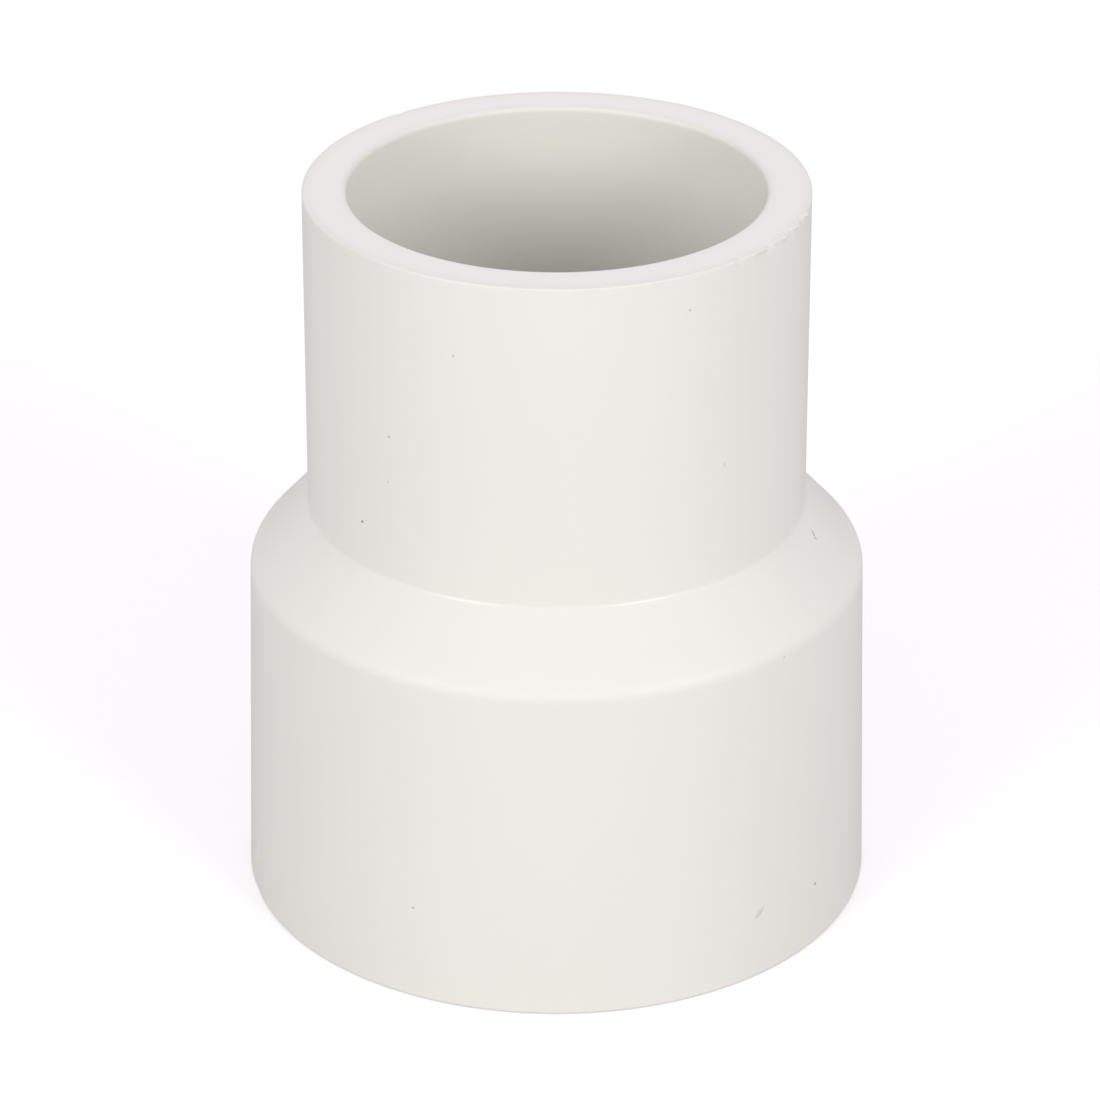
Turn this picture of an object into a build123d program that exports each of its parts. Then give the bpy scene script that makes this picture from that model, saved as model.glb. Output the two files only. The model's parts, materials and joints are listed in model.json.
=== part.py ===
from build123d import *
import os

# A socket-to-socket pipe reducer for cemented plastic pressure pipe, moulded in one piece.
# It stands on the mouth of its large socket. The origin is the centre of that mouth face
# and +Z runs up the waterway to the mouth of the small socket. All lengths are millimetres.

# ---------------------------------------------------------------- driving dimensions

OVERALL_HEIGHT = 46.0

# sockets: the bore is the mean bore that the pipe size calls for
LARGE_SOCKET_BORE = 32.2      # takes 32 mm pipe
LARGE_SOCKET_DEPTH = 22.0
SMALL_SOCKET_BORE = 25.2      # takes 25 mm pipe
SMALL_SOCKET_DEPTH = 19.0

# outside diameters; each barrel tapers a little towards the top, as a moulding's draft
LARGE_BARREL_FOOT_OD = 39.2
LARGE_BARREL_TOP_OD = 38.0
SMALL_BARREL_FOOT_OD = 30.7
SMALL_BARREL_TOP_OD = 30.5

# heights where the outside changes from one barrel to the other
SHOULDER_HEIGHT = 21.6        # outer edge of the sloping shoulder
NECK_HEIGHT = 25.6            # where the shoulder meets the small barrel

# waterway between the two pipe stops, a short cone
THROAT_LARGE_OD = 27.8
THROAT_SMALL_OD = 22.6

# rounds and edge breaks
SHOULDER_ROUND = 1.3
NECK_FILLET = 0.4
FOOT_OUTER_ROUND = 0.15
FOOT_INNER_ROUND = 0.5
RIM_OUTER_ROUND = 0.1
RIM_INNER_ROUND = 0.3
STOP_CORNER_FILLET = 0.6
THROAT_EDGE_ROUND = 0.4

# ---------------------------------------------------------------- worked-out places

LARGE_STOP_HEIGHT = LARGE_SOCKET_DEPTH
SMALL_STOP_HEIGHT = OVERALL_HEIGHT - SMALL_SOCKET_DEPTH

OUTPUT_FOLDER = "parts"


def section_corners():
    """Corners of the wall's half section as (radius, height, round), in order around it."""
    outside = [
        (LARGE_BARREL_FOOT_OD / 2, 0.0, FOOT_OUTER_ROUND),
        (LARGE_BARREL_TOP_OD / 2, SHOULDER_HEIGHT, SHOULDER_ROUND),
        (SMALL_BARREL_FOOT_OD / 2, NECK_HEIGHT, NECK_FILLET),
        (SMALL_BARREL_TOP_OD / 2, OVERALL_HEIGHT, RIM_OUTER_ROUND),
    ]
    inside = [
        (SMALL_SOCKET_BORE / 2, OVERALL_HEIGHT, RIM_INNER_ROUND),
        (SMALL_SOCKET_BORE / 2, SMALL_STOP_HEIGHT, STOP_CORNER_FILLET),
        (THROAT_SMALL_OD / 2, SMALL_STOP_HEIGHT, THROAT_EDGE_ROUND),
        (THROAT_LARGE_OD / 2, LARGE_STOP_HEIGHT, THROAT_EDGE_ROUND),
        (LARGE_SOCKET_BORE / 2, LARGE_STOP_HEIGHT, STOP_CORNER_FILLET),
        (LARGE_SOCKET_BORE / 2, 0.0, FOOT_INNER_ROUND),
    ]
    return outside + inside


def reducer_body():
    """The whole moulding: the wall's half section turned once about the pipe axis."""
    corners = section_corners()
    with BuildPart() as body:
        with BuildSketch(Plane.XZ) as section:
            with BuildLine():
                FilletPolyline(
                    *[(radius, height) for radius, height, _ in corners],
                    radius=[edge_round for _, _, edge_round in corners],
                    close=True,
                )
            make_face()
        revolve(axis=Axis.Z)
    solid = body.part.solid()
    solid.label = "reducer_body"
    return solid


def main():
    """Write one STEP file for each piece; this object is a single piece."""
    os.makedirs(OUTPUT_FOLDER, exist_ok=True)
    for name, solid in {"reducer_body": reducer_body()}.items():
        export_step(solid, f"{OUTPUT_FOLDER}/{name}.step")


main()
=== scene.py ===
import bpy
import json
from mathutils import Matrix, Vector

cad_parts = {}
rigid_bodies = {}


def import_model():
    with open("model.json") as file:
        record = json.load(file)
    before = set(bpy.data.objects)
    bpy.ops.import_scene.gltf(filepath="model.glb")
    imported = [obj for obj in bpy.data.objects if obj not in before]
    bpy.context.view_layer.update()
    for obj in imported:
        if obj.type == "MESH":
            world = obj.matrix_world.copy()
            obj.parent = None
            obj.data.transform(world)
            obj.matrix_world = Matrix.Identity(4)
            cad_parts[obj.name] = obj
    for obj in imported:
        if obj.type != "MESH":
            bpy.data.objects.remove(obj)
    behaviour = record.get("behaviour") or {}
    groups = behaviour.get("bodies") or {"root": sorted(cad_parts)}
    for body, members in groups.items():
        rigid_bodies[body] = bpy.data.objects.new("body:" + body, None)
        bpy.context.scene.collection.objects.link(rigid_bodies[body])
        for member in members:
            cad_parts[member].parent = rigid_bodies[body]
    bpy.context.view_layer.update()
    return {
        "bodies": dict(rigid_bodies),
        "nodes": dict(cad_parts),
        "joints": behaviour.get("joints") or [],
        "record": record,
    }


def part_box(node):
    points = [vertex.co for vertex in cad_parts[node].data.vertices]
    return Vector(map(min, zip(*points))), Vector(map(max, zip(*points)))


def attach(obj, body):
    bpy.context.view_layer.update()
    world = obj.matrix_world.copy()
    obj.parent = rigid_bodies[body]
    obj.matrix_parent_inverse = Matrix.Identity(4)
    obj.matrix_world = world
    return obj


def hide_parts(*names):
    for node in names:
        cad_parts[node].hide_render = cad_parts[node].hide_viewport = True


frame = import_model()

# A white pressure-pipe reducer, moulded in one piece: a large cemented socket below, a sloping
# shoulder, and a small cemented socket above. It stands on its large mouth at the origin, with
# the pipe axis up +Z. Lengths are metres; sizes that are easier to read in millimetres are
# written as a number times MM. Angles round the pipe are measured from the front, which is -Y,
# and grow towards +X.

import json
import logging
import math
from collections.abc import Sequence
from dataclasses import dataclass, field
from enum import Enum
from typing import Any

import bpy
import numpy as np
from mathutils import Matrix, Vector

LOG = logging.getLogger("reducer")
MM = 0.001
FULL_TURN = 2.0 * math.pi
FINE_STEPS = 4096  # steps of a turn that the columns' density is added up over
SURFACE_MAP = "OFBake"  # the name of the flat map laid over the piece


# ---------------------------------------------------------------- small numeric helpers


def smooth_step(values: np.ndarray) -> np.ndarray:
    """Ease from 0 to 1: 3 t squared less 2 t cubed, with t held between 0 and 1."""
    held = np.clip(values, 0.0, 1.0)
    return held * held * (3.0 - 2.0 * held)


def bell(distance: np.ndarray, width: float) -> np.ndarray:
    """A bell curve of 1 at no distance: e to the minus (distance / width) squared."""
    return np.exp(-np.square(distance / width))


def turn_gap(angles: np.ndarray, middle: float) -> np.ndarray:
    """Shortest turn from an angle to each of the angles, in radians, signed."""
    return (angles - middle + math.pi) % FULL_TURN - math.pi


def ripple(angles: np.ndarray, waves: tuple[int, int], count: int, seed: int) -> np.ndarray:
    """A wavy line that closes on itself round the pipe.

    The sum of `count` sine waves, each with a whole number of waves a turn and a random start,
    divided by the square root of half their count, so that its usual size is 1.

    Args:
        angles: angles round the pipe, in radians.
        waves: fewest and most waves a turn.
        count: how many sine waves are added.
        seed: fixes the random choice.

    Returns:
        One height for each angle.
    """
    chance = np.random.default_rng(seed)
    frequency = chance.integers(waves[0], waves[1] + 1, count)[:, None]
    start = chance.uniform(0.0, FULL_TURN, count)[:, None]
    return np.sin(frequency * angles + start).sum(axis=0) / math.sqrt(count / 2.0)


# ---------------------------------------------------------------- the wall's half section


@dataclass(frozen=True)
class Corner:
    """One corner of the wall's half section, with the round on it and the side after it.

    A corner that stands out gets rubbed, as far from it as its rub width. The others have none.
    """

    radius: float
    height: float
    edge_round: float
    side_rows: int
    rub_width: float = 0.0


@dataclass(frozen=True)
class Section:
    """The closed half section as rows of points, in order up the outside and down the inside.

    Each row has its outward direction, as a radial and an upward share. The lengths along the
    section start at 0 and have one entry more than the rows, for the way back to the first row.
    """

    radius: np.ndarray
    height: np.ndarray
    out: np.ndarray
    length: np.ndarray

    @property
    def rows(self) -> int:
        """Number of rows."""
        return len(self.radius)

    def near(self, radius: float, height: float, width: float) -> np.ndarray:
        """Bell curve of each row's distance from one ring of that radius and height."""
        return bell(np.hypot(self.radius - radius, self.height - height), width)


def rounded_section(corners: Sequence[Corner], arc_rows: int) -> Section:
    """Draw the half section through its corners, with every corner rounded.

    At a corner the two sides meet at an angle. The round touches each side at the round's
    radius divided by the tangent of half that angle, its centre lies on the bisector at the
    radius divided by the sine of half that angle, and its points turn evenly between the two
    touching points. A straight side's rows crowd towards its ends: they lie at half of
    (1 - cos t), with t running evenly over half a turn.

    Args:
        corners: the corners in order, up the outside and down the inside.
        arc_rows: rows on each round, its two ends included.

    Returns:
        The section's rows, with their outward directions and lengths along the section.
    """
    place = np.array([(corner.radius, corner.height) for corner in corners])
    edge_round = np.array([corner.edge_round for corner in corners])[:, None]
    back = np.roll(place, 1, axis=0) - place
    ahead = np.roll(place, -1, axis=0) - place
    back /= np.linalg.norm(back, axis=1, keepdims=True)
    ahead /= np.linalg.norm(ahead, axis=1, keepdims=True)
    half_angle = np.arccos(np.clip((back * ahead).sum(axis=1), -1.0, 1.0))[:, None] / 2.0
    bisector = (back + ahead) / np.linalg.norm(back + ahead, axis=1, keepdims=True)
    centre = place + bisector * edge_round / np.sin(half_angle)
    first = place + back * edge_round / np.tan(half_angle) - centre
    last = place + ahead * edge_round / np.tan(half_angle) - centre
    turn = (math.pi - 2.0 * half_angle)[:, None, :]
    share = np.linspace(0.0, 1.0, arc_rows)[None, :, None]
    spokes = np.sin((1.0 - share) * turn) * first[:, None] + np.sin(share * turn) * last[:, None]
    arcs = centre[:, None] + spokes / np.sin(turn)
    stretches = []
    for index, corner in enumerate(corners):
        start, end = arcs[index, -1], arcs[(index + 1) % len(corners), 0]
        even = np.linspace(0.0, math.pi, corner.side_rows + 2)[1:-1, None]
        stretches += [arcs[index], start + (end - start) * (1.0 - np.cos(even)) / 2.0]
    points = np.concatenate(stretches)
    along = np.roll(points, -1, axis=0) - np.roll(points, 1, axis=0)
    along /= np.linalg.norm(along, axis=1, keepdims=True)
    steps = np.linalg.norm(np.roll(points, -1, axis=0) - points, axis=1)
    return Section(
        radius=points[:, 0],
        height=points[:, 1],
        out=np.stack([along[:, 1], -along[:, 0]], axis=1),
        length=np.concatenate([[0.0], np.cumsum(steps)]),
    )


# ---------------------------------------------------------------- what moulding and handling leave


@dataclass(frozen=True)
class Flash:
    """A stretch of ragged flash: a thin lip of plastic that stands out past a moulded edge."""

    middle_deg: float
    half_width_deg: float
    reach: float
    seed: int
    waves: tuple[int, int] = (20, 120)
    wave_count: int = 26
    fullness: float = 0.3

    def profile(self, angles: np.ndarray) -> np.ndarray:
        """How far the lip stands out: the part of a raised ripple above zero.

        It is whole over the middle half of the stretch and fades out over the rest.

        Args:
            angles: angles round the pipe, in radians.

        Returns:
            One distance for each angle, in metres.
        """
        gap = np.abs(turn_gap(angles, math.radians(self.middle_deg)))
        fade = smooth_step(2.0 * (1.0 - gap / math.radians(self.half_width_deg)))
        teeth = ripple(angles, self.waves, self.wave_count, self.seed) + self.fullness
        return self.reach * fade * np.maximum(teeth, 0.0)


@dataclass(frozen=True)
class Nick:
    """A small knock on an edge, cut in where depth is positive and raised where it is not."""

    angle_deg: float
    ring_radius: float
    ring_height: float
    reach: float
    depth: float

    def press(self, angles: np.ndarray, section: Section) -> np.ndarray:
        """How far the surface moves outwards: a round bell centred on the knock.

        Args:
            angles: angles of the grid's columns, in radians.
            section: the wall's half section.

        Returns:
            A grid of heights, columns by rows, in metres.
        """
        arc = turn_gap(angles, math.radians(self.angle_deg)) * self.ring_radius
        across = section.near(self.ring_radius, self.ring_height, self.reach)
        return -self.depth * bell(arc, self.reach)[:, None] * across[None, :]


# ---------------------------------------------------------------- shader expressions


class Reading:
    """A number that changes over a surface: an output socket that takes Python's operators."""

    def __init__(self, sheet: "NodeSheet", socket: bpy.types.NodeSocket) -> None:
        """Wrap one output socket of the sheet."""
        self.sheet = sheet
        self.socket = socket

    def math(self, operation: str, *values: Any, clamp: bool = False) -> "Reading":
        """Add one Math node with these values on its sockets.

        Args:
            operation: the Math node's operation.
            values: numbers or readings, in socket order.
            clamp: whether the result is held between 0 and 1.

        Returns:
            The node's result.
        """
        settings = {"operation": operation, "use_clamp": clamp}
        return self.sheet.node("ShaderNodeMath", settings, dict(enumerate(values))).reading()

    def __add__(self, other: Any) -> "Reading":
        """Sum."""
        return self.math("ADD", self, other)

    def __radd__(self, other: Any) -> "Reading":
        """Sum, with the number first."""
        return self.math("ADD", other, self)

    def __sub__(self, other: Any) -> "Reading":
        """Difference."""
        return self.math("SUBTRACT", self, other)

    def __rsub__(self, other: Any) -> "Reading":
        """Difference, with the number first."""
        return self.math("SUBTRACT", other, self)

    def __mul__(self, other: Any) -> "Reading":
        """Product."""
        return self.math("MULTIPLY", self, other)

    def __rmul__(self, other: Any) -> "Reading":
        """Product, with the number first."""
        return self.math("MULTIPLY", other, self)

    def __gt__(self, other: Any) -> "Reading":
        """1 where this is greater, otherwise 0."""
        return self.math("GREATER_THAN", self, other)

    def held(self) -> "Reading":
        """This value held between 0 and 1."""
        return self.math("ADD", self, 0.0, clamp=True)


@dataclass(frozen=True)
class Placed:
    """One node that is on a sheet."""

    sheet: "NodeSheet"
    made: bpy.types.Node

    def reading(self, output: int | str = 0) -> Reading:
        """One of the node's outputs."""
        return Reading(self.sheet, self.made.outputs[output])


class NodeSheet:
    """The node tree of one finish."""

    def __init__(self, material: bpy.types.Material) -> None:
        """Empty the material's tree and take the object's own coordinates."""
        material.use_nodes = True
        self.tree = material.node_tree
        self.tree.nodes.clear()
        self.place = self.node("ShaderNodeTexCoord").reading("Object")

    def node(
        self,
        kind: str,
        settings: dict[str, Any] | None = None,
        sockets: dict[int | str, Any] | None = None,
    ) -> Placed:
        """Add any node: its settings are set first, then its sockets are filled or linked.

        Args:
            kind: the node's type.
            settings: the node's own settings by name.
            sockets: a number, colour, vector or reading for each input, by name or place.

        Returns:
            The node.
        """
        made = self.tree.nodes.new(kind)
        for name, value in (settings or {}).items():
            setattr(made, name, value)
        for name, value in (sockets or {}).items():
            if isinstance(value, Reading):
                self.tree.links.new(value.socket, made.inputs[name])
            else:
                made.inputs[name].default_value = value
        return Placed(self, made)

    def grain(self, grains_a_metre: Sequence[float]) -> Reading:
        """A soft noise from 0 to 1, with its own fineness along each of X, Y and Z."""
        stretch = {"Vector": self.place, "Scale": grains_a_metre}
        stretched = self.node("ShaderNodeMapping", {"vector_type": "POINT"}, stretch).reading()
        sockets = {"Vector": stretched, "Scale": 1.0, "Detail": 2.0, "Roughness": 0.55}
        return self.node("ShaderNodeTexNoise", {}, sockets).reading()

    def attribute(self, name: str) -> Reading:
        """A number that the piece's own vertices hold."""
        return self.node("ShaderNodeAttribute", {"attribute_name": name}).reading("Fac")

    def blend(self, share: Reading | float, first: Any, second: Any) -> Reading:
        """A colour between two: the first where share is 0 and the second where it is 1."""
        return self.node(
            "ShaderNodeMix", {"data_type": "RGBA"}, {0: share, 6: first, 7: second}
        ).reading(2)


# ---------------------------------------------------------------- marks that only colour the wall


class Tone(Enum):
    """Colours of the small marks on the wall, as linear red, green, blue and alpha."""

    GREY_FLECK = (0.30, 0.28, 0.25, 1.0)
    DARK_FLECK = (0.12, 0.11, 0.10, 1.0)
    SCUFF = (0.60, 0.58, 0.53, 1.0)
    PALE_RUB = (0.93, 0.92, 0.91, 1.0)


@dataclass(frozen=True)
class Mark:
    """A fleck in the plastic or a scuff on it, as a soft ellipse on the surface.

    The length is along the slant, which is measured from level.
    """

    angle_deg: float
    height: float
    length: float
    width: float
    slant_deg: float
    tone: Tone
    strength: float
    crispness: float = 2.5

    def mask(self, sheet: NodeSheet, point: Vector, out: Vector) -> Reading:
        """Strength of the mark over the surface: 0 outside the ellipse, fading in from its rim.

        The object's coordinates are moved to the mark, turned so that X runs along it, and
        divided by its half sizes. The distance from the middle is then 1 on the ellipse. The
        mark is whole where 1 less that distance, times the crispness, is 1 or more.

        Args:
            sheet: the finish's nodes.
            point: the mark's middle on the surface.
            out: the surface's outward direction there.

        Returns:
            The mask.
        """
        level = Vector((-out.y, out.x, 0.0)).normalized()
        slant = math.radians(self.slant_deg)
        along = math.cos(slant) * level + math.sin(slant) * out.cross(level)
        axes = Matrix((along, out.cross(along), out)).transposed()
        own = sheet.node(
            "ShaderNodeMapping",
            {"vector_type": "TEXTURE"},
            {
                "Vector": sheet.place,
                "Location": point,
                "Rotation": axes.to_euler(),
                "Scale": (self.length / 2.0, self.width / 2.0, self.length),
            },
        ).reading()
        settings = {"operation": "LENGTH"}
        distance = sheet.node("ShaderNodeVectorMath", settings, {0: own}).reading("Value")
        return ((1.0 - distance) * self.crispness).held() * self.strength


# ---------------------------------------------------------------- the moulded body


@dataclass
class ReducerMoulding:
    """The whole fitting, as one closed wall turned about the pipe axis."""

    height: float
    large_socket_radius: float
    large_socket_depth: float
    small_socket_radius: float
    small_socket_depth: float
    foot_radius: float = 19.6 * MM
    large_barrel_top_radius: float = 19.0 * MM
    shoulder_height: float = 21.6 * MM
    neck_radius: float = 15.35 * MM
    neck_height: float = 25.6 * MM
    rim_radius: float = 15.25 * MM
    throat_large_radius: float = 13.9 * MM
    throat_small_radius: float = 11.3 * MM
    foot_outer_round: float = 0.15 * MM
    foot_inner_round: float = 0.5 * MM
    shoulder_round: float = 1.3 * MM
    neck_fillet: float = 0.4 * MM
    rim_outer_round: float = 0.1 * MM
    rim_inner_round: float = 0.3 * MM
    stop_fillet: float = 0.6 * MM
    throat_round: float = 0.4 * MM
    columns: int = 560
    crowding: float = 3.0
    arc_rows: int = 8
    out_of_round: float = 0.015 * MM
    oval_turn: float = 0.7
    waviness: float = 0.003 * MM
    swell_waves: tuple[int, int] = (3, 11)
    swell_count: int = 9
    swell_seed: int = 21
    swells_along: float = 5.0
    flat_foot: float = 0.1 * MM
    lip_width: float = 0.15 * MM
    flashes: tuple[Flash, ...] = (
        Flash(62.0, 24.0, 0.120 * MM, 3),
        Flash(12.0, 24.0, 0.022 * MM, 5),
        Flash(-52.0, 26.0, 0.022 * MM, 8),
        Flash(165.0, 38.0, 0.026 * MM, 13),
    )
    marks: tuple[Mark, ...] = (
        Mark(-23.0, 41.3 * MM, 0.20 * MM, 0.17 * MM, 0.0, Tone.GREY_FLECK, 0.45),
        Mark(-40.0, 35.0 * MM, 0.30 * MM, 0.22 * MM, 20.0, Tone.GREY_FLECK, 0.45),
        Mark(-40.5, 32.0 * MM, 0.20 * MM, 0.16 * MM, 0.0, Tone.GREY_FLECK, 0.35),
        Mark(-49.0, 28.6 * MM, 0.26 * MM, 0.20 * MM, 35.0, Tone.DARK_FLECK, 0.85),
        Mark(30.0, 43.8 * MM, 0.24 * MM, 0.17 * MM, 0.0, Tone.GREY_FLECK, 0.4),
        Mark(40.0, 33.2 * MM, 0.22 * MM, 0.16 * MM, 60.0, Tone.GREY_FLECK, 0.4),
        Mark(-26.5, 6.2 * MM, 0.26 * MM, 0.20 * MM, 0.0, Tone.GREY_FLECK, 0.45),
        Mark(55.0, 4.1 * MM, 0.34 * MM, 0.24 * MM, 0.0, Tone.GREY_FLECK, 0.7),
        Mark(45.5, 21.2 * MM, 0.24 * MM, 0.18 * MM, 0.0, Tone.GREY_FLECK, 0.3),
        Mark(75.9, 24.7 * MM, 0.70 * MM, 0.22 * MM, 50.0, Tone.GREY_FLECK, 0.6),
        Mark(75.0, 24.5 * MM, 0.40 * MM, 0.18 * MM, 130.0, Tone.GREY_FLECK, 0.5),
        Mark(39.5, 4.4 * MM, 1.15 * MM, 0.42 * MM, 42.0, Tone.SCUFF, 0.55),
        Mark(-75.0, 2.6 * MM, 3.20 * MM, 1.20 * MM, 60.0, Tone.PALE_RUB, 0.6),
    )
    body: str = "root"
    node: str = "reducer_body"
    slot: str = "white_pvc"
    section: Section = field(init=False)

    def __post_init__(self) -> None:
        """Draw the half section once, for everything that needs it."""
        self.section = rounded_section(self.corners(), self.arc_rows)

    @classmethod
    def from_frame(cls, packed: dict[str, Any]) -> "ReducerMoulding":
        """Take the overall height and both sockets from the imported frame.


        Returns:
            The moulding, with its other sizes at their own values.
        """
        mounts = {mount["name"]: mount["dims"] for mount in packed["record"]["mounts"]}
        large, small = mounts["large_socket"], mounts["small_socket"]
        return cls(
            height=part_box(cls.node)[1].z,
            large_socket_radius=large["r_mm"] * MM,
            large_socket_depth=large["length_mm"] * MM,
            small_socket_radius=small["r_mm"] * MM,
            small_socket_depth=small["length_mm"] * MM,
        )

    def corners(self) -> tuple[Corner, ...]:
        """Corners of the half section, up the outside and down the inside."""
        large, small, top = self.large_socket_radius, self.small_socket_radius, self.height
        large_stop, small_stop = self.large_socket_depth, self.height - self.small_socket_depth
        shoulder = (self.large_barrel_top_radius, self.shoulder_height)
        return (
            Corner(self.foot_radius, 0.0, self.foot_outer_round, 24, 0.8 * MM),
            Corner(*shoulder, self.shoulder_round, 8, 1.0 * MM),
            Corner(self.neck_radius, self.neck_height, self.neck_fillet, 22),
            Corner(self.rim_radius, top, self.rim_outer_round, 7, 0.4 * MM),
            Corner(small, top, self.rim_inner_round, 14, 0.35 * MM),
            Corner(small, small_stop, self.stop_fillet, 1),
            Corner(self.throat_small_radius, small_stop, self.throat_round, 3),
            Corner(self.throat_large_radius, large_stop, self.throat_round, 2),
            Corner(large, large_stop, self.stop_fillet, 10),
            Corner(large, 0.0, self.foot_inner_round, 3),
        )

    def nicks(self) -> tuple[Nick, ...]:
        """Knocks on the rim's two edges and on the foot."""
        outer, inner, top = self.rim_radius, self.small_socket_radius, self.height
        return (
            Nick(3.0, outer, top, 0.16 * MM, 0.07 * MM),
            Nick(-69.5, outer, top, 0.22 * MM, -0.06 * MM),
            Nick(44.0, outer, top, 0.20 * MM, 0.06 * MM),
            Nick(54.0, outer, top, 0.32 * MM, 0.14 * MM),
            Nick(64.0, outer, top, 0.24 * MM, 0.10 * MM),
            Nick(71.0, outer, top, 0.28 * MM, 0.12 * MM),
            Nick(99.0, inner, top, 0.20 * MM, -0.05 * MM),
            Nick(-140.0, outer, top, 0.25 * MM, 0.06 * MM),
            Nick(-75.0, self.foot_radius, 0.0, 0.50 * MM, 0.10 * MM),
            Nick(128.0, self.foot_radius, 0.0, 0.40 * MM, 0.08 * MM),
        )

    def column_angles(self) -> np.ndarray:
        """Angles of the grid's columns, crowded where the rim's flash is raggedest.

        The columns are spread so that equal steps of the running total of a density lie between
        them. The density is 1, plus the crowding times a bell curve on the raggedest stretch.
        """
        fine = np.linspace(0.0, FULL_TURN, FINE_STEPS + 1)
        raggedest = max(self.flashes, key=lambda flash: flash.reach)
        gap = turn_gap(fine, math.radians(raggedest.middle_deg))
        density = 1.0 + self.crowding * bell(gap, math.radians(raggedest.half_width_deg))
        total = np.concatenate([[0.0], np.cumsum((density[1:] + density[:-1]) / 2.0)])
        steps = np.linspace(0.0, total[-1], self.columns, endpoint=False)
        return np.interp(steps, total, fine)

    def rise(self, angles: np.ndarray) -> np.ndarray:
        """How far the real wall stands off the drawn one, outwards, over the grid.

        The sum of a slight waviness and the nicks. It fades to nothing on the foot's face,
        which stays flat on what it stands on.

        Args:
            angles: angles of the columns, in radians.

        Returns:
            A grid of heights, columns by rows, in metres.
        """
        section = self.section
        share = section.length[:-1] / section.length[-1]
        around = ripple(angles, self.swell_waves, self.swell_count, self.swell_seed)
        swell = around[:, None] * np.sin(FULL_TURN * self.swells_along * share)
        total = self.waviness * swell
        for nick in self.nicks():
            total = total + nick.press(angles, section)
        return total * smooth_step(section.height / self.flat_foot)[None, :]

    def overhang(self, angles: np.ndarray) -> np.ndarray:
        """How far the flash carries the rim's outer edge away from the axis, over the grid.

        Args:
            angles: angles of the columns, in radians.

        Returns:
            A grid of distances, columns by rows, in metres.
        """
        lip = self.section.near(self.rim_radius, self.height, self.lip_width)
        ragged = np.sum([flash.profile(angles) for flash in self.flashes], axis=0)
        return ragged[:, None] * lip[None, :]

    def surface(self) -> tuple[np.ndarray, np.ndarray]:
        """Points of the wall: the half section carried round the pipe axis.

        Each row's radius is stretched by 1 plus a small share of the cosine of twice the angle
        plus a turn, and moved outwards by the rise. The flash adds to the radius alone, so that
        the rim's face stays flat. The point is then radius times (sine of the angle, minus
        cosine of the angle) in plan, at the row's height.

        Returns:
            The grid of points, columns by rows by 3, and the columns' angles.
        """
        section, angles = self.section, self.column_angles()
        rise = self.rise(angles)
        two_lobes = np.cos(2.0 * angles + self.oval_turn)[:, None]
        oval = 1.0 + self.out_of_round / self.foot_radius * two_lobes
        radius = section.radius[None, :] * oval + rise * section.out[None, :, 0]
        radius += self.overhang(angles)
        height = section.height[None, :] + rise * section.out[None, :, 1]
        plan = np.stack([np.sin(angles), -np.cos(angles)], axis=1)[:, None, :]
        return np.concatenate([radius[..., None] * plan, height[..., None]], axis=2), angles

    def point_at(self, angle_deg: float, height: float) -> tuple[Vector, Vector]:
        """A point on the outside of the wall and the outward direction there.

        Args:
            angle_deg: angle round the pipe, in degrees.
            height: height above the foot.

        Returns:
            The point and the direction.
        """
        section = self.section
        outside = slice(0, int(np.argmax(section.height)) + 1)
        row = int(np.argmin(np.abs(section.height[outside] - height)))
        radius = float(np.interp(height, section.height[outside], section.radius[outside]))
        turn = math.radians(angle_deg)
        plan = Vector((math.sin(turn), -math.cos(turn), 0.0))
        across, up = section.out[row]
        point = plan * radius + Vector((0.0, 0.0, height))
        return point, plan * across + Vector((0.0, 0.0, up))

    def edge_wear(self) -> np.ndarray:
        """How much each row is rubbed: near 1 at the corners that stand out, 0 far from them."""
        rubs = [
            self.section.near(corner.radius, corner.height, corner.rub_width)
            for corner in self.corners()
            if corner.rub_width > 0.0
        ]
        return np.max(rubs, axis=0)

    def inside(self) -> np.ndarray:
        """1 on the rows of the two sockets and the throat, 0 on the outside and both faces."""
        section, margin, rim_margin = self.section, 0.05 * MM, 0.5 * MM
        past_rim = np.arange(section.rows) > int(np.argmax(section.height))
        clear_of_rim = section.radius < self.small_socket_radius + margin
        clear_of_foot = section.radius < self.large_socket_radius + margin
        below_rim = section.height < self.height - rim_margin
        return (past_rim & (clear_of_rim | (clear_of_foot & below_rim))).astype(float)

    def build(self, finish: "RigidPlastic") -> bpy.types.Object:
        """Make the piece, dress it and put it in the frame.

        Args:
            finish: the plastic that it is moulded in.

        Returns:
            The finished piece.
        """
        points, angles = self.surface()
        piece = closed_grid("reducer_moulding", points)
        map_closed_grid(piece, angles / FULL_TURN, self.section.length / self.section.length[-1])
        for name, values in {"edge_wear": self.edge_wear(), "inside": self.inside()}.items():
            hold_per_row(piece, name, values, self.columns)
        piece.data.materials.append(finish.material(self))
        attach(piece, self.body)
        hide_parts(self.node)
        return piece


# ---------------------------------------------------------------- meshes from grids


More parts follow.
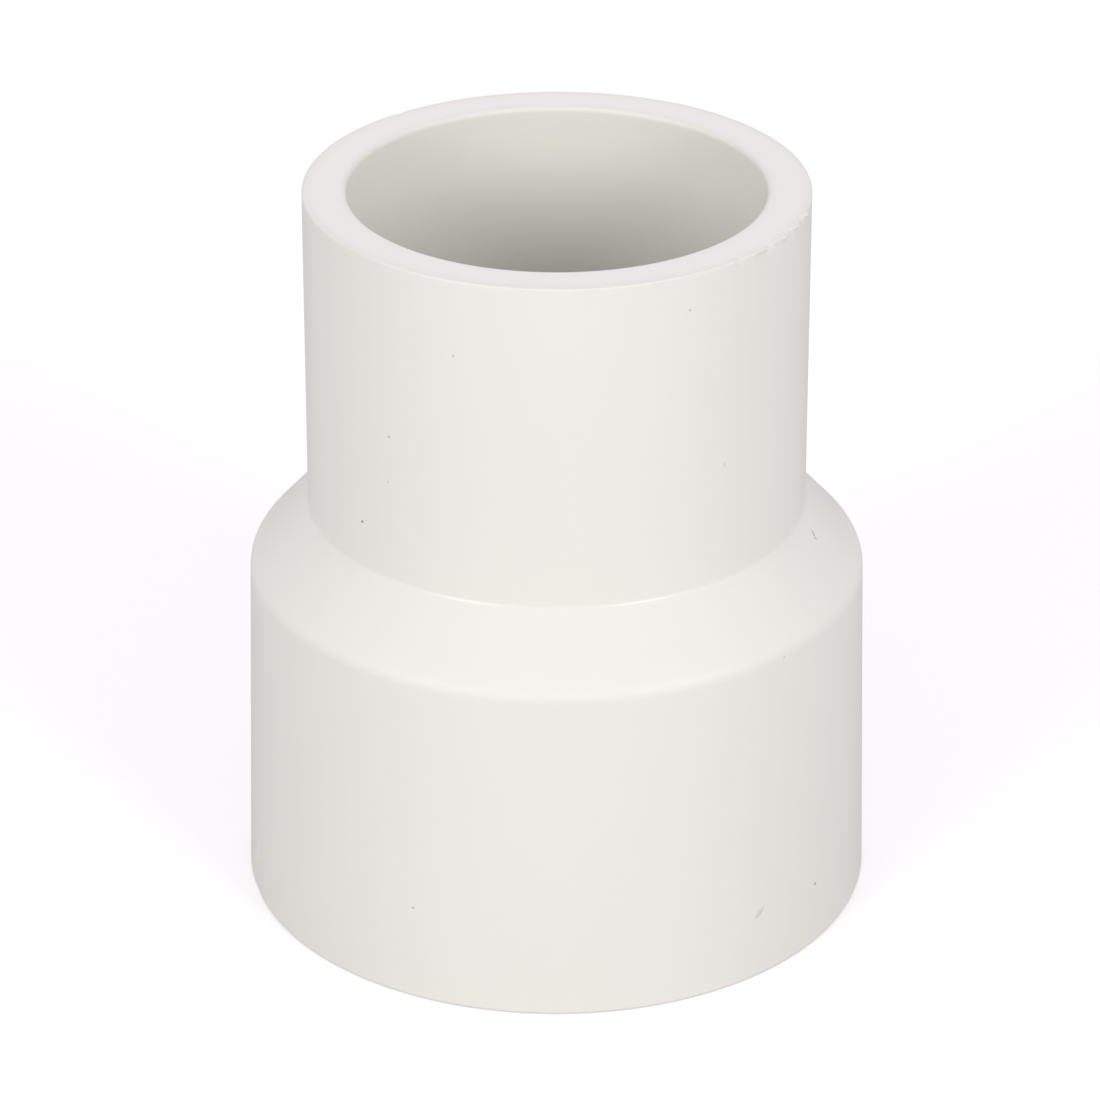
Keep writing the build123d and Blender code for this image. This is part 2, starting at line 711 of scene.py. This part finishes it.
def closed_grid(name: str, points: np.ndarray) -> bpy.types.Object:
    """Make a mesh of a grid that closes on itself both ways.

    Face (column, row) joins that point to the next column, both next, and the next row, with
    the count wrapping from the last back to the first.

    Args:
        name: the piece's name.
        points: columns by rows by 3, in metres.

    Returns:
        The piece, at the origin.
    """
    columns, rows = points.shape[:2]
    numbers = np.arange(columns * rows).reshape(columns, rows)
    right = np.roll(numbers, -1, axis=0)
    faces = np.stack([numbers, right, np.roll(right, -1, axis=1), np.roll(numbers, -1, axis=1)], 2)
    mesh = bpy.data.meshes.new(name)
    mesh.vertices.add(columns * rows)
    mesh.vertices.foreach_set("co", points.astype(np.float32).ravel())
    mesh.loops.add(faces.size)
    mesh.loops.foreach_set("vertex_index", faces.astype(np.int32).ravel())
    mesh.polygons.add(columns * rows)
    mesh.polygons.foreach_set("loop_start", np.arange(0, faces.size, 4, dtype=np.int32))
    mesh.update(calc_edges=True)
    mesh.polygons.foreach_set("use_smooth", np.ones(columns * rows, dtype=bool))
    mesh.validate()
    piece = bpy.data.objects.new(name, mesh)
    bpy.context.scene.collection.objects.link(piece)
    return piece


def map_closed_grid(piece: bpy.types.Object, across: np.ndarray, up: np.ndarray) -> None:
    """Lay the grid out flat as one rectangle: the turn runs across, the section's length up.

    The last column and the last row end at 1, where the first ones begin at 0.

    Args:
        piece: a piece from closed_grid.
        across: share of the turn at each column.
        up: share of the section's length at each row, with a last entry of 1.
    """
    left, right = across, np.concatenate([across[1:], [1.0]])
    low, high = up[:-1], up[1:]
    columns, rows = len(left), len(low)
    corners = np.empty((columns, rows, 4, 2))
    corners[..., 0] = np.stack([left, right, right, left], axis=1)[:, None, :]
    corners[..., 1] = np.stack([low, low, high, high], axis=1)[None, :, :]
    layer = piece.data.uv_layers.new(name=SURFACE_MAP)
    layer.uv.foreach_set("vector", corners.astype(np.float32).ravel())


def hold_per_row(piece: bpy.types.Object, name: str, values: np.ndarray, columns: int) -> None:
    """Give every vertex its row's number, for the finish to read.

    Args:
        piece: a piece from closed_grid.
        name: what the number is called.
        values: one number for each row.
        columns: the grid's columns.
    """
    held = piece.data.attributes.new(name, "FLOAT", "POINT")
    held.data.foreach_set("value", np.tile(values, columns).astype(np.float32))


# ---------------------------------------------------------------- finishes


@dataclass(frozen=True)
class RigidPlastic:
    """Injection-moulded rigid white plastic: warm white, satin gloss, opaque.

    Three noises vary it, each in grains a metre along X, Y and Z: clouds in the colour, draw
    marks along the axis, and a fine orange peel.
    """

    name: str = "white_rigid_plastic"
    colour: tuple[float, float, float, float] = (0.862, 0.850, 0.790, 1.0)
    shade: tuple[float, float, float, float] = (0.838, 0.826, 0.762, 1.0)
    refraction: float = 1.53
    roughness: float = 0.30
    drag_roughness: float = 0.08
    wear_roughness: float = 0.24
    inside_roughness: float = 0.06
    cloud_grains: tuple[float, float, float] = (90.0, 90.0, 60.0)
    drag_grains: tuple[float, float, float] = (900.0, 900.0, 30.0)
    peel_grains: tuple[float, float, float] = (1500.0, 1500.0, 1500.0)
    peel_share: float = 0.6
    relief: float = 0.02 * MM
    relief_strength: float = 0.10
    fleck_cells: float = 260.0
    fleck_reach: float = 0.022
    fleck_crispness: float = 120.0
    fleck_rarity: float = 0.9
    fleck_strength: float = 0.5

    def material(self, moulding: ReducerMoulding) -> bpy.types.Material:
        """Make the finish for the moulding.

        Args:
            moulding: the piece, which says where its marks lie.

        Returns:
            The material.
        """
        material = bpy.data.materials.new(self.name)
        sheet = NodeSheet(material)
        wear, inside = sheet.attribute("edge_wear"), sheet.attribute("inside")
        drag, peel = sheet.grain(self.drag_grains), sheet.grain(self.peel_grains)
        colour = sheet.blend(sheet.grain(self.cloud_grains), self.colour, self.shade)
        colour = self.flecked(sheet, colour)
        for mark in moulding.marks:
            mask = mark.mask(sheet, *moulding.point_at(mark.angle_deg, mark.height))
            colour = sheet.blend(mask, colour, mark.tone.value)
        rough = self.roughness + self.drag_roughness * (drag - 0.5)
        rough = rough + self.wear_roughness * wear + self.inside_roughness * inside
        height = self.peel_share * peel + (1.0 - self.peel_share) * drag
        bump = sheet.node(
            "ShaderNodeBump",
            {},
            {"Strength": self.relief_strength, "Distance": self.relief, "Height": height},
        ).reading()
        shader = sheet.node(
            "ShaderNodeBsdfPrincipled",
            {},
            {
                "Base Color": colour,
                "Roughness": rough,
                "IOR": self.refraction,
                "Normal": bump,
            },
        ).reading()
        sheet.node("ShaderNodeOutputMaterial", {}, {"Surface": shader})
        return material

    def flecked(self, sheet: NodeSheet, colour: Reading) -> Reading:
        """Scatter a few tiny grey flecks through the plastic.

        Space is cut into cells, `fleck_cells` to a metre. Each has a point and a random number
        from 0 to 1. Where the number is above the rarity there is a fleck round the point, out
        to the reach, which is a share of a cell's size.

        Args:
            sheet: the finish's nodes.
            colour: the plastic's colour so far.

        Returns:
            The colour with its flecks.
        """
        sockets = {"Vector": sheet.place, "Scale": self.fleck_cells}
        cells = sheet.node("ShaderNodeTexVoronoi", {}, sockets)
        split = sheet.node("ShaderNodeSeparateColor", {}, {"Color": cells.reading("Color")})
        nearness = (self.fleck_reach - cells.reading("Distance")) * self.fleck_crispness
        fleck = nearness.held() * (split.reading() > self.fleck_rarity)
        return sheet.blend(fleck * self.fleck_strength, colour, Tone.GREY_FLECK.value)


@dataclass(frozen=True)
class MattSheet:
    """A plain matt sheet of the studio's floor, with a glow of its own if it has to read white."""

    name: str
    tone: float
    glow: float = 0.0
    roughness: float = 0.9
    gloss: float = 0.1

    def material(self) -> bpy.types.Material:
        """Make the finish, under its own name."""
        material = bpy.data.materials.new(self.name)
        sheet = NodeSheet(material)
        sockets = {
            "Base Color": (self.tone, self.tone, self.tone, 1.0),
            "Roughness": self.roughness,
            "Specular IOR Level": self.gloss,
            "Emission Color": (1.0, 1.0, 1.0, 1.0),
            "Emission Strength": self.glow,
        }
        shader = sheet.node("ShaderNodeBsdfPrincipled", {}, sockets).reading()
        sheet.node("ShaderNodeOutputMaterial", {}, {"Surface": shader})
        return material


# ---------------------------------------------------------------- studio


@dataclass(frozen=True)
class SoftBox:
    """A rectangular soft box that faces the fitting, with its power in watts.

    Its turn is measured as angles round the pipe are, and its distance is from the camera's aim.
    """

    turn_deg: float
    elevation_deg: float
    distance: float
    width: float
    height: float
    power: float
    colour: tuple[float, float, float]


class Lamp(Enum):
    """The studio's soft boxes."""

    KEY_LEFT = SoftBox(-40.0, 21.0, 0.60, 0.22, 0.22, 0.92, (0.991, 1.000, 0.970))
    KEY_RIGHT = SoftBox(39.0, 21.0, 0.60, 0.22, 0.22, 0.98, (0.995, 1.000, 0.990))
    BACK = SoftBox(180.0, 24.0, 0.70, 0.60, 0.30, 0.48, (0.892, 0.875, 1.000))


@dataclass
class Studio:
    """Floor, soft light and camera."""

    view_elevation_deg: float = 27.22
    view_distance: float = 0.28566
    aim: tuple[float, float, float] = (-0.41 * MM, 0.0, 21.52 * MM)
    lens_mm: float = 150.4
    sensor_mm: float = 36.0
    nearest: float = 0.01
    floor_size: float = 6.0
    floor_drop: float = 0.02 * MM
    floor_tone: float = 0.88
    floor_glow: float = 0.27
    card_tone: float = 0.62
    world_colour: tuple[float, float, float, float] = (0.972, 0.940, 1.0, 1.0)
    world_strength: float = 0.71

    def build(self) -> None:
        """Make everything in the studio."""
        self.floor()
        self.world()
        for lamp in Lamp:
            self.soft_box(lamp)
        self.camera()
        view = bpy.context.scene.view_settings
        view.view_transform = "Standard"
        view.look = "None"

    def floor(self) -> None:
        """Lay the pale floor that only the camera sees, over the card that only light meets."""
        pale = MattSheet("pale_floor", self.floor_tone, self.floor_glow)
        seen = self.plane(pale, self.floor_drop)
        seen.visible_diffuse = seen.visible_glossy = seen.visible_shadow = False
        card = self.plane(MattSheet("bounce_card", self.card_tone), 2.0 * self.floor_drop)
        card.visible_camera = False

    def plane(self, finish: MattSheet, drop: float) -> bpy.types.Object:
        """A square plane just under the foot.

        Args:
            finish: its finish, which also names it.
            drop: how far it lies under the foot.

        Returns:
            The plane.
        """
        half = self.floor_size / 2.0
        corners = [(-half, -half), (half, -half), (half, half), (-half, half)]
        mesh = bpy.data.meshes.new(finish.name)
        mesh.from_pydata([(x, y, -drop) for x, y in corners], [], [(0, 1, 2, 3)])
        mesh.materials.append(finish.material())
        plane = bpy.data.objects.new(finish.name, mesh)
        bpy.context.scene.collection.objects.link(plane)
        return plane

    def world(self) -> None:
        """Even light from all round."""
        world = bpy.data.worlds.new("studio_air")
        world.use_nodes = True
        background = world.node_tree.nodes["Background"]
        background.inputs["Color"].default_value = self.world_colour
        background.inputs["Strength"].default_value = self.world_strength
        bpy.context.scene.world = world

    def soft_box(self, lamp: Lamp) -> None:
        """One rectangular area light that faces the middle of the fitting."""
        box = lamp.value
        turn, elevation = math.radians(box.turn_deg), math.radians(box.elevation_deg)
        level = math.cos(elevation)
        out = Vector((level * math.sin(turn), -level * math.cos(turn), math.sin(elevation)))
        light = bpy.data.lights.new(f"soft_box_{lamp.name.lower()}", "AREA")
        light.shape = "RECTANGLE"
        light.size = box.width
        light.size_y = box.height
        light.energy = box.power
        light.color = box.colour
        hung = bpy.data.objects.new(light.name, light)
        hung.location = Vector(self.aim) + out * box.distance
        hung.rotation_euler = out.to_track_quat("Z", "Y").to_euler()
        bpy.context.scene.collection.objects.link(hung)

    def camera(self) -> None:
        """Camera in front of the fitting, looking down at its middle."""
        elevation = math.radians(self.view_elevation_deg)
        out = Vector((0.0, -math.cos(elevation), math.sin(elevation)))
        lens = bpy.data.cameras.new("studio_camera")
        lens.lens = self.lens_mm
        lens.sensor_width = self.sensor_mm
        lens.clip_start = self.nearest
        camera = bpy.data.objects.new("studio_camera", lens)
        camera.location = Vector(self.aim) + out * self.view_distance
        camera.rotation_euler = out.to_track_quat("Z", "Y").to_euler()
        bpy.context.scene.collection.objects.link(camera)
        bpy.context.scene.camera = camera


def main() -> None:
    """Build the fitting and its studio."""
    logging.basicConfig(level=logging.INFO, format="%(name)s: %(message)s")
    moulding = ReducerMoulding.from_frame(frame)
    piece = moulding.build(RigidPlastic())
    LOG.info("%s: %d faces, %s", piece.name, len(piece.data.polygons), moulding.slot)
    Studio().build()
    LOG.info("studio: floor, %d soft boxes and camera", len(Lamp))


if __name__ == "__main__":
    main()
